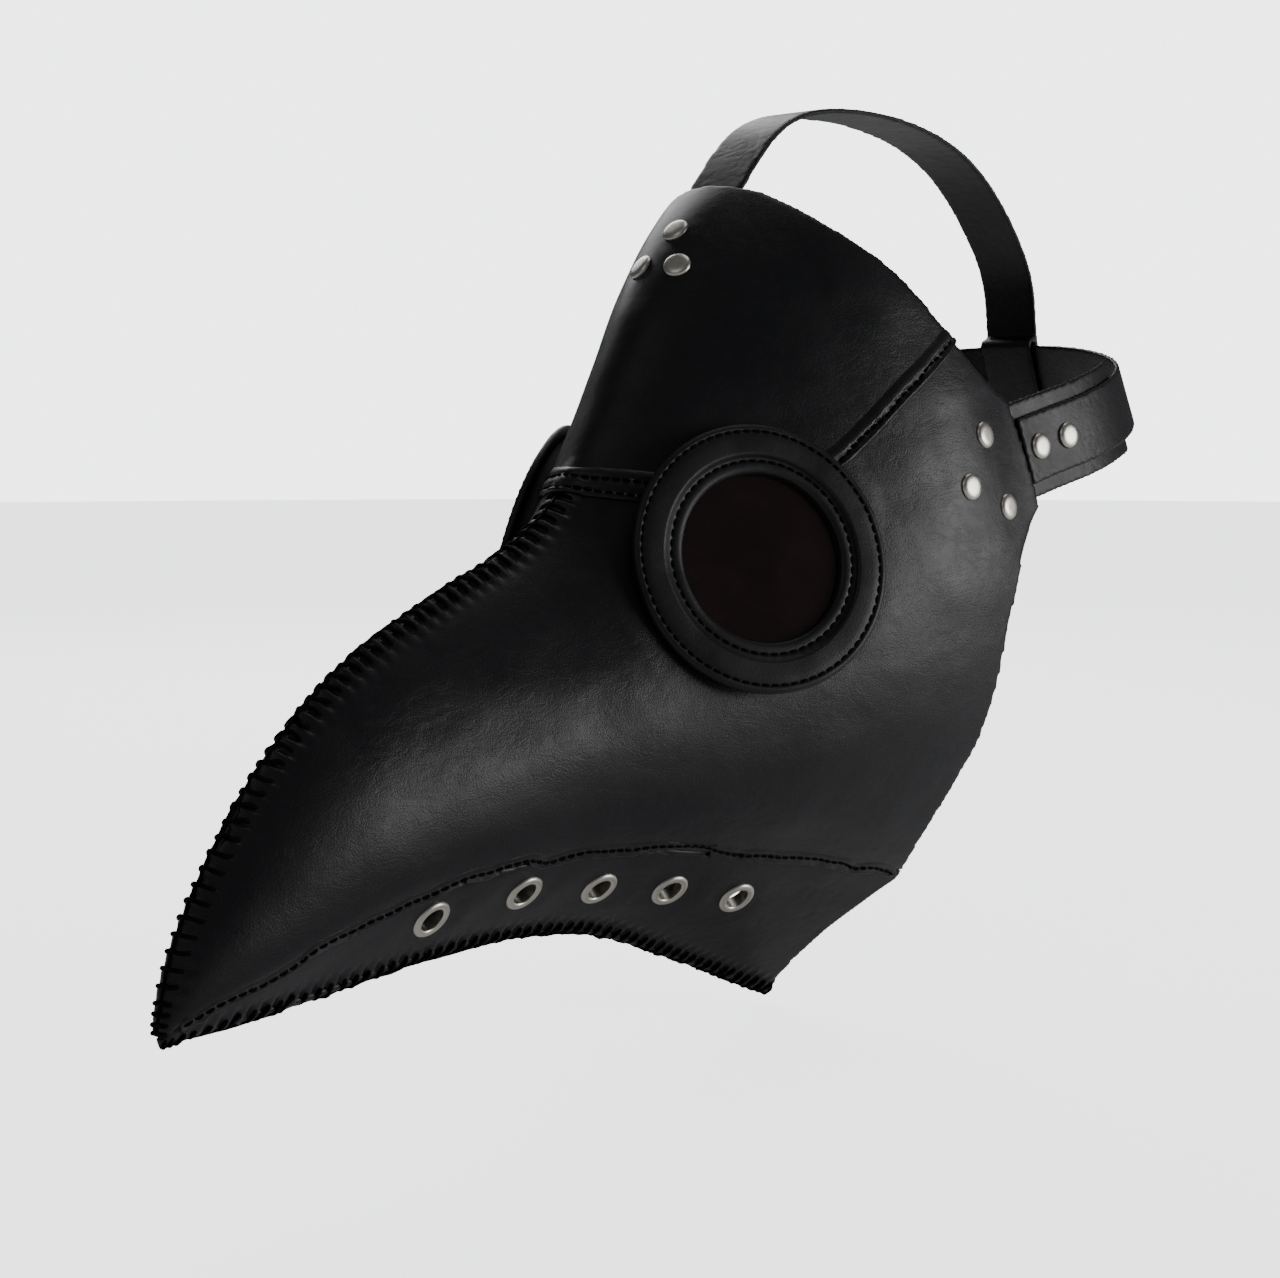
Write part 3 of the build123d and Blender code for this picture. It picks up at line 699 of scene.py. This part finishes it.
def ring_frame(name):
    """Centre of the top face, axes, outer and inner radius of an eye ring, read from its CAD mesh."""
    mesh = NODES[name].data
    middle = np.mean([vertex.co[:] for vertex in mesh.vertices], axis=0)
    areas = {}
    for face in mesh.polygons:
        key = tuple(round(part, 2) for part in face.normal)
        areas[key] = areas.get(key, 0) + face.area
    outwards = [key for key in areas if key[0] * middle[0] > 0]
    axis = unit(np.array(max(outwards, key=areas.get)))
    flat = [face for face in mesh.polygons if np.dot(face.normal, axis) > 0.9995]
    axis = unit(sum(np.array(face.normal) * face.area for face in flat))
    top = np.array([mesh.vertices[index].co[:] for face in flat for index in face.vertices])
    top = top[top @ axis > (top @ axis).max() - 0.2 * MM]
    first = unit(np.cross((0, 0, 1), axis))
    second = np.cross(axis, first)
    centre = axis * (top @ axis).mean()
    for side in (first, second):
        reach = top @ side
        centre = centre + side * 0.5 * (reach.min() + reach.max())
    radii = np.linalg.norm(np.cross(top - centre, axis), axis=1)
    return centre, first, second, axis, radii.max(), radii.min()


def ring_wave(place):
    """How far the ring's leather rises off flat at a place."""
    return field.noise(Vector(place * 70)) * 0.30 * MM + field.noise(Vector(place * 230)) * 0.05 * MM


def make_ring(name):
    centre, first, second, axis, rim, hole = ring_frame(name)
    profile = [(rim - part * MM if side == "rim" else hole + part * MM, height * MM)
               for side, part, height in RING_PROFILE]
    points, faces = [], []
    for turn in np.linspace(0, 2 * math.pi, RING_STEPS, endpoint=False):
        way = math.cos(turn) * first + math.sin(turn) * second
        for radius, height in profile:
            place = centre + way * radius
            points.append(place + axis * (height + (ring_wave(place) if height > -1.0 * MM else 0)))
    size = len(profile)
    for step in range(RING_STEPS):
        following = (step + 1) % RING_STEPS
        for index in range(size):
            beyond = (index + 1) % size
            faces.append((step * size + index, step * size + beyond, following * size + beyond,
                          following * size + index))
    ring = new_piece(name + "_worked", points, faces, RING_LEATHER, "ring_leather", [name])
    fix_normals(ring)
    stitches = []
    for radius in (rim - OUTER_ROW, hole + INNER_ROW):
        circle = [centre + radius * (math.cos(turn) * first + math.sin(turn) * second)
                  for turn in np.linspace(0, 2 * math.pi, 601)]
        circle = [place + axis * (ring_wave(place) - 0.32 * MM) for place in circle]
        stitches += stitch_row(circle, [axis] * len(circle))
    made = new_piece(name + "_stitching", *gather(stitches), THREAD, "thread")
    fix_normals(made)


def fix_normals(piece):
    work = bmesh.new()
    work.from_mesh(piece.data)
    bmesh.ops.recalc_face_normals(work, faces=work.faces)
    work.to_mesh(piece.data)
    work.free()


def stitch_row(points, normals, lift=0.12 * MM):
    """Short raised stitches along a line that lies on the leather, each dipping into it at both ends."""
    points = np.asarray(points, float)
    normals = np.asarray(normals, float)
    lengths = np.r_[0, np.cumsum(np.linalg.norm(np.diff(points, axis=0), axis=1))]
    count = max(1, round(lengths[-1] / STITCH_PITCH))
    pitch = lengths[-1] / count
    stitches = []
    for number in range(count):
        middle = (number + 0.5) * pitch
        wanted = middle + STITCH_LENGTH * np.array((-0.5, -0.42, -0.2, 0, 0.2, 0.42, 0.5))
        place = np.column_stack([np.interp(wanted, lengths, points[:, axis]) for axis in range(3)])
        out = np.column_stack([np.interp(wanted, lengths, normals[:, axis]) for axis in range(3)])
        heights = lift + MM * np.array((-0.55, -0.1, 0.12, 0.16, 0.12, -0.1, -0.55))
        stitches.append(tube(place + out * heights[:, None], [THREAD_RADIUS] * 7, 6))
    return stitches


# ---------------------------------------------------------------- laps and stitched seams
LAP_TOP = ((9.0, -0.5), (7.5, 0.25), (6.0, 0.62), (5.2, 0.58), (4.6, 0.45), (4.0, 0.62), (2.6, 0.95),
           (1.2, 1.05), (0.7, 0.85), (0.2, 0.7), (-0.3, 0.88), (-0.9, 1.2), (-1.6, 1.22), (-2.2, 0.95), (-2.5, 0.5),
           (-2.2, 0.0))
LAP_DROP = 3.8                  # how far the nose lap hangs below the panel's own edge, mm
THIN_LAP = ((5.0, -0.4), (4.0, 0.12), (3.0, 0.36), (2.0, 0.42), (1.6, 0.36), (1.2, 0.26), (0.8, 0.36),
            (0.2, 0.46), (-0.5, 0.48), (-1.0, 0.4), (-1.35, 0.2), (-1.4, -0.1))
THIN_UNDER = ((0.5, -0.7), (5.0, -0.8))
LAP_UNDER = ((-1.0, -0.6), (3.0, -0.9), (9.0, -1.1))
NARROW_LAP = ((6.0, -0.5), (4.8, 0.2), (3.4, 0.72), (1.8, 0.98), (1.0, 0.95), (0.6, 0.75), (0.2, 0.66),
              (-0.2, 0.78), (-0.9, 1.1), (-1.6, 1.12), (-2.1, 0.85), (-2.35, 0.45), (-2.1, 0.0))
NARROW_UNDER = ((-1.0, -0.6), (3.0, -0.9), (6.0, -1.1))


def seam_frames(line, run_on=(0.0, 0.0)):
    """Evenly spaced (place, up the upper panel, normal) along a seam, run on straight at its ends."""
    places = np.array([place for place, _ in line])
    normals = np.array([normal for _, normal in line])
    first, last = unit(places[0] - places[3]), unit(places[-1] - places[-4])
    places = np.vstack([places[0] + first * run_on[0], places, places[-1] + last * run_on[1]])
    normals = np.vstack([normals[0], normals, normals[-1]])
    lengths = np.r_[0, np.cumsum(np.linalg.norm(np.diff(places, axis=0), axis=1))]
    even, wanted = resample(places, 1 * MM)
    even = smoothed(even, 8)
    out = smoothed(np.column_stack([np.interp(wanted, lengths, normals[:, axis]) for axis in range(3)]), 12)
    along = np.gradient(even, axis=0)
    frames = []
    for place, direction, normal in zip(even, along, out):
        normal = unit(normal)
        up = unit(np.cross(normal, direction))
        frames.append((place, up if up[2] > 0 else -up, normal))
    return frames


def mirrored(line):
    flip = np.array((-1, 1, 1))
    return [(place * flip, normal * flip) for place, normal in line]


def make_lap(name, frames, top, under, rows, drop=0.0):
    """The folded lower edge of a panel, lying over the panel below, with its stitch rows."""
    frames = [(place - up * drop * MM, up, normal) for place, up, normal in frames]
    section = [(side * MM, height * MM) for side, height in top + under]
    points, faces = [], []
    for place, up, normal in frames:
        for side, height in section:
            base = place + up * side
            puff = field.noise(Vector(base * 160)) * 0.22 * MM if height > 0.3 * MM else 0
            points.append(over(SHOWN, base, normal, height + puff))
    size = len(section)
    for step in range(len(frames) - 1):
        for index in range(size):
            beyond = (index + 1) % size
            faces.append((step * size + index, step * size + beyond, (step + 1) * size + beyond,
                          (step + 1) * size + index))
    faces.append(tuple(range(size)))
    faces.append(tuple(range((len(frames) - 1) * size, len(frames) * size)))
    lap = new_piece(name, points, faces, LEATHER, "leather")
    fix_normals(lap)
    lap_skin = surface_of([lap])
    stitches = []
    for side in rows:
        row = [over(lap_skin, place + up * side * MM, normal, 0) for place, up, normal in frames]
        stitches += stitch_row(smoothed(row, 12), [normal for _, _, normal in frames])
    made = new_piece(name + "_stitching", *gather(stitches), THREAD, "thread")
    fix_normals(made)


def make_seams():
    nose, brow = BROW_SEAMS
    make_lap("nose_lap", seam_frames(mirrored(nose)[:0:-1] + nose), LAP_TOP, LAP_UNDER, (0.25, 4.6), LAP_DROP)
    for side, line in (("left", brow), ("right", mirrored(brow))):
        make_lap(side + "_brow_lap", seam_frames(line), NARROW_LAP, NARROW_UNDER, (0.2,))
    for side, line in (("left", SIDE_SEAM), ("right", mirrored(SIDE_SEAM))):
        make_lap(side + "_side_lap", seam_frames(line)[3:], THIN_LAP, THIN_UNDER, (1.2,))


def seam_allowance(name, line, depth=1.6 * MM, radius=1.35 * MM):
    """The turned-in edges of two panels, felt as a bead behind their seam."""
    places = [place - normal * depth for place, _, normal in line]
    made = new_piece(name, *tube(smoothed(places, 3), [radius] * len(places)), LEATHER, "leather")
    fix_normals(made)


def middle_frames(line, upwards):
    frames = []
    for place, direction in zip(line, np.gradient(line, axis=0)):
        out = unit(np.cross((1.0, 0, 0), direction))
        frames.append((place, None, out if out[2] * upwards > 0 else -out))
    return frames[8:-3]


make_seams()
seam_allowance("left_seam_allowance", seam_frames(SIDE_SEAM)[4:-2])
seam_allowance("right_seam_allowance", seam_frames(mirrored(SIDE_SEAM))[4:-2])
seam_allowance("ridge_seam_allowance", middle_frames(RIDGE, 1), 1.5 * MM)
seam_allowance("keel_seam_allowance", middle_frames(KEEL, -1), 1.5 * MM)
for ring_name in RINGS:
    make_ring(ring_name)


# ---------------------------------------------------------------- whip stitches
def whip_stitches(name, line, laces, upwards):
    """Thick thread over the middle seam: a stitch at each place, and the run that links them along the edge."""
    lengths = np.r_[0, np.cumsum(np.linalg.norm(np.diff(line, axis=0), axis=1))]
    along = np.gradient(line, axis=0)
    pieces, edge_run = [], []
    sideways = np.array((1.0, 0, 0))
    for number, place in enumerate(laces):
        centre = np.array([np.interp(place, lengths, line[:, axis]) for axis in range(3)])
        direction = unit(np.array([np.interp(place, lengths, along[:, axis]) for axis in range(3)]))
        out = unit(np.cross(sideways, direction))
        out = out if out[2] * upwards > 0 else -out
        reach = LACE_REACH * (0.45 + 0.55 * smoothstep(place, 0, 30 * MM)) * chance.uniform(0.92, 1.06)
        lean = chance.uniform(0.04, 0.12) * reach
        path = []
        for part in np.linspace(-1, 1, 13):
            guess = centre + sideways * part * reach * 0.8 - out * abs(part) * reach * 0.55
            guess = guess + direction * (part * lean)
            normal = unit(sideways * part * 1.1 + out * (1.05 - 0.6 * abs(part)))
            height = (0.2 - 1.2 * smoothstep(abs(part), 0.8, 1.0)) * MM
            path.append(over(SHOWN, guess, normal, height, 2 * MM))
        radii = LACE_RADIUS * (1 - 0.35 * smoothstep(np.abs(np.linspace(-1, 1, 13)), 0.8, 1.0))
        pieces.append(tube(smoothed(path, 1), radii))
        edge_run.append(over(SHOWN, centre, out, 0.35 * MM, 2 * MM))
    run, _ = resample(np.array(edge_run), 1.5 * MM)
    run = [over(SHOWN, spot, np.array((0, 0, float(upwards))), -0.1 * MM, 1 * MM) for spot in run]
    pieces.append(tube(smoothed(run, 2), [0.8 * LACE_RADIUS] * len(run)))
    made = new_piece(name + "_worked", *gather(pieces), THREAD, "thread", [name])
    fix_normals(made)


chance = random.Random(11)
whip_stitches("ridge_lacing", RIDGE, RIDGE_LACES, 1)
whip_stitches("keel_lacing", KEEL, KEEL_LACES, -1)


# ---------------------------------------------------------------- floor and light
def pale_floor():
    material, nodes, links = new_material("floor")
    shader = nodes["Principled BSDF"]
    place = nodes.new("ShaderNodeTexCoord").outputs["Object"]
    mottle = noise(nodes, links, place, 3, 3)
    links.new(mix_colours(nodes, links, mottle, (0.80, 0.80, 0.81), (0.83, 0.83, 0.84)),
              shader.inputs["Base Color"])
    shader.inputs["Roughness"].default_value = 0.75
    shader.inputs["Emission Color"].default_value = (0.97, 0.98, 1.0, 1)
    seen = nodes.new("ShaderNodeLightPath").outputs["Is Camera Ray"]
    links.new(ramp(nodes, links, seen, 0, 1, 0.1, 2.6), shader.inputs["Emission Strength"])
    low = float(CAD_BOX[0][2]) - 1 * MM
    mesh = bpy.data.meshes.new("floor")
    steps = 48
    points = [(0, 0, low)] + [(6 * math.cos(2 * math.pi * step / steps), 6 * math.sin(2 * math.pi * step / steps),
                               low) for step in range(steps)]
    mesh.from_pydata(points, [], [(0, step + 1, (step + 1) % steps + 1) for step in range(steps)])
    mesh.materials.append(material)
    floor = bpy.data.objects.new("floor", mesh)
    bpy.context.scene.collection.objects.link(floor)
    return floor


def softbox(name, place, size, power, target=(0, -0.13, 0)):
    data = bpy.data.lights.new(name, "AREA")
    data.shape = "RECTANGLE"
    data.size, data.size_y = size
    data.energy = power
    light = bpy.data.objects.new(name, data)
    light.location = place
    light.rotation_euler = (Vector(target) - Vector(place)).to_track_quat("-Z", "Y").to_euler()
    bpy.context.scene.collection.objects.link(light)
    return light


def pale_world():
    world = bpy.context.scene.world or bpy.data.worlds.new("world")
    bpy.context.scene.world = world
    world.use_nodes = True
    nodes, links = world.node_tree.nodes, world.node_tree.links
    background = nodes["Background"]
    background.inputs["Color"].default_value = (0.96, 0.97, 1.0, 1)
    seen = nodes.new("ShaderNodeLightPath").outputs["Is Camera Ray"]
    links.new(ramp(nodes, links, seen, 0, 1, 0.09, 4.0), background.inputs["Strength"])


pale_world()
pale_floor()
softbox("key", (1.25, 0.62, 0.14), (0.8, 0.5), 9)
softbox("front", (0.2, -1.5, 1.0), (0.9, 0.9), 1.6)
softbox("top", (0.0, 0.5, 1.6), (0.9, 0.9), 3)
softbox("back", (-1.0, 0.6, 0.9), (0.8, 0.8), 8)
